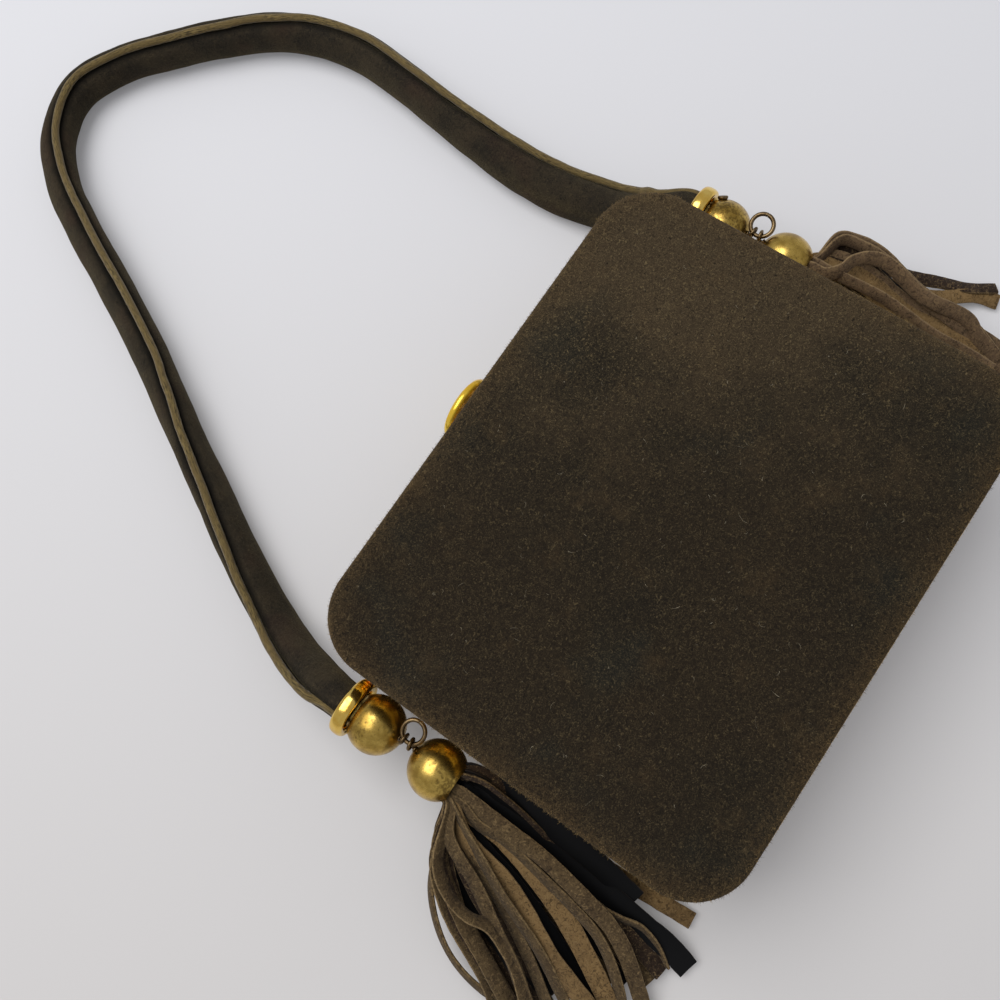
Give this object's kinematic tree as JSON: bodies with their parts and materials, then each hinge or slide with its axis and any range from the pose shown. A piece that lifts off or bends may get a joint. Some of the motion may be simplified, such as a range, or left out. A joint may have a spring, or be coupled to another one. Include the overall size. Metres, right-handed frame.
{
  "type": "minaudiere",
  "caption": "Hard suede-covered box bag lying on its back, with a hinged front, a push-knob clasp, and a padded strap through side rings ending in brass balls and suede tassels.",
  "frame": {"origin": "centre of the flat back face, which lies on the surface", "axes": "+Z out of the front face, +Y along the back towards the clasp at the bag's top edge, +X across towards the right-hand ring as it lies"},
  "size_m": [0.2674, 0.3499, 0.05],
  "materials": {
    "suede": "matte suede, dark olive brown, nap worn lighter at the edges",
    "board": "plain pressed board",
    "lining": "woven lining",
    "gilt": "polished gilt",
    "antique_brass": "antiqued, satin, mottled",
    "bronze_wire": "dark bronze wire",
    "steel": "plain bright",
    "velvet": "dark brown velvet over padding",
    "cording": "twisted olive gold cord",
    "suede_strips": "suede strips, taupe and tan"
  },
  "bodies": {
    "case": {"back_shell": "board", "back_suede_cover": "suede", "back_lining": "lining", "back_mouth_frame": "gilt", "hinge_leaf_back": "gilt", "hinge_pin": "steel", "clasp_boss": "gilt", "clasp_spring": "steel", "strap": "velvet", "strap_piping": "cording", "side_ring_left": "gilt", "side_ring_nut_left": "steel", "stopper_ball_left": "antique_brass", "stopper_pin_left": "bronze_wire", "stopper_eye_left": "bronze_wire", "side_ring_right": "gilt", "side_ring_nut_right": "steel", "stopper_ball_right": "antique_brass", "stopper_pin_right": "bronze_wire", "stopper_eye_right": "bronze_wire"},
    "lid": {"front_shell": "board", "front_suede_cover": "suede", "front_lining": "lining", "front_mouth_frame": "gilt", "hinge_leaf_front": "gilt", "clasp_keeper": "steel"},
    "clasp_button": {"clasp_knob": "gilt", "clasp_latch": "steel"},
    "left_link": {"jump_ring_left": "bronze_wire"},
    "left_tassel": {"tassel_ball_left": "antique_brass", "tassel_eye_left": "bronze_wire", "tassel_left": "suede_strips"},
    "right_link": {"jump_ring_right": "bronze_wire"},
    "right_tassel": {"tassel_ball_right": "antique_brass", "tassel_eye_right": "bronze_wire", "tassel_right": "suede_strips"}
  },
  "joints": [
    {"name": "lid_hinge", "type": "hinge", "parent": "case", "child": "lid", "pos_m": [0, -0.06535, 0.03], "axis": [1, 0, 0], "range_deg": [0, 100]},
    {"name": "clasp_push", "type": "slide", "parent": "case", "child": "clasp_button", "axis": [0, -1, 0], "range_m": [0, 0.002], "stiffness_N_per_m": 300, "springref_m": -0.001, "deforming": ["clasp_spring"]},
    {"name": "left_link_swing", "type": "hinge", "parent": "case", "child": "left_link", "pos_m": [-0.08876, 0.028, 0.02839], "axis": [0, 0, -1], "range_deg": [0, 20]},
    {"name": "left_tassel_lift", "type": "hinge", "parent": "left_link", "child": "left_tassel", "pos_m": [-0.08876, 0.0256, 0.02839], "axis": [-1, 0, 0], "range_deg": [0, 25]},
    {"name": "right_link_swing", "type": "hinge", "parent": "case", "child": "right_link", "pos_m": [0.09165, 0.028, 0.02864], "axis": [0, 0, 1], "range_deg": [0, 14]},
    {"name": "right_tassel_lift", "type": "hinge", "parent": "right_link", "child": "right_tassel", "pos_m": [0.09165, 0.0256, 0.02864], "axis": [-1, 0, 0], "range_deg": [0, 20]}
  ]
}
